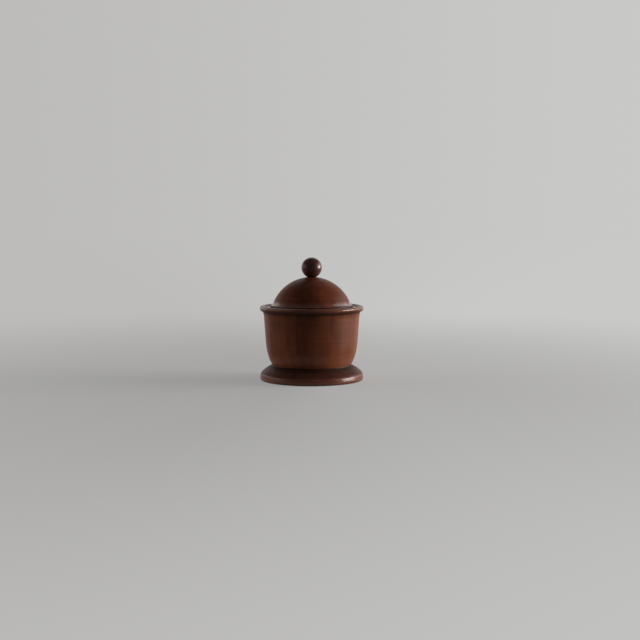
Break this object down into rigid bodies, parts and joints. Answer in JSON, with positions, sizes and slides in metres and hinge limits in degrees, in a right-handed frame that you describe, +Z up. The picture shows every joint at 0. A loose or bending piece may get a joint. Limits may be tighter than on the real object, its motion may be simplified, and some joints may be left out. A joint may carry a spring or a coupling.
{
  "type": "wooden storage jar",
  "caption": "Turned wooden storage jar on a spreading foot, with a rolled lip and a loose domed lid lifted off by a ball knob.",
  "frame": {"origin": "centre of the circle that the foot stands on", "axes": "+Z up along the jar's turning axis, -Y towards the picture's viewer, +X to the viewer's right"},
  "size_m": [0.121, 0.121, 0.142],
  "materials": {
    "bowl_wood": "satin, turned side grain, red-brown stain",
    "foot_wood": "satin, darker and a little greyer than the bowl",
    "lid_wood": "satin, turned side grain, red-brown stain",
    "knob_wood": "gloss, dark red-brown stain",
    "dowel_wood": "bare pale beech"
  },
  "bodies": {
    "jar": {"foot": "foot_wood", "jar_body": "bowl_wood"},
    "lid": {"lid": "lid_wood", "knob_dowel": "dowel_wood", "knob_ball": "knob_wood"}
  },
  "joints": [
    {"name": "lid_lift", "type": "slide", "parent": "jar", "child": "lid", "axis": [0, 0, 1], "range_m": [0, 0.1]}
  ]
}
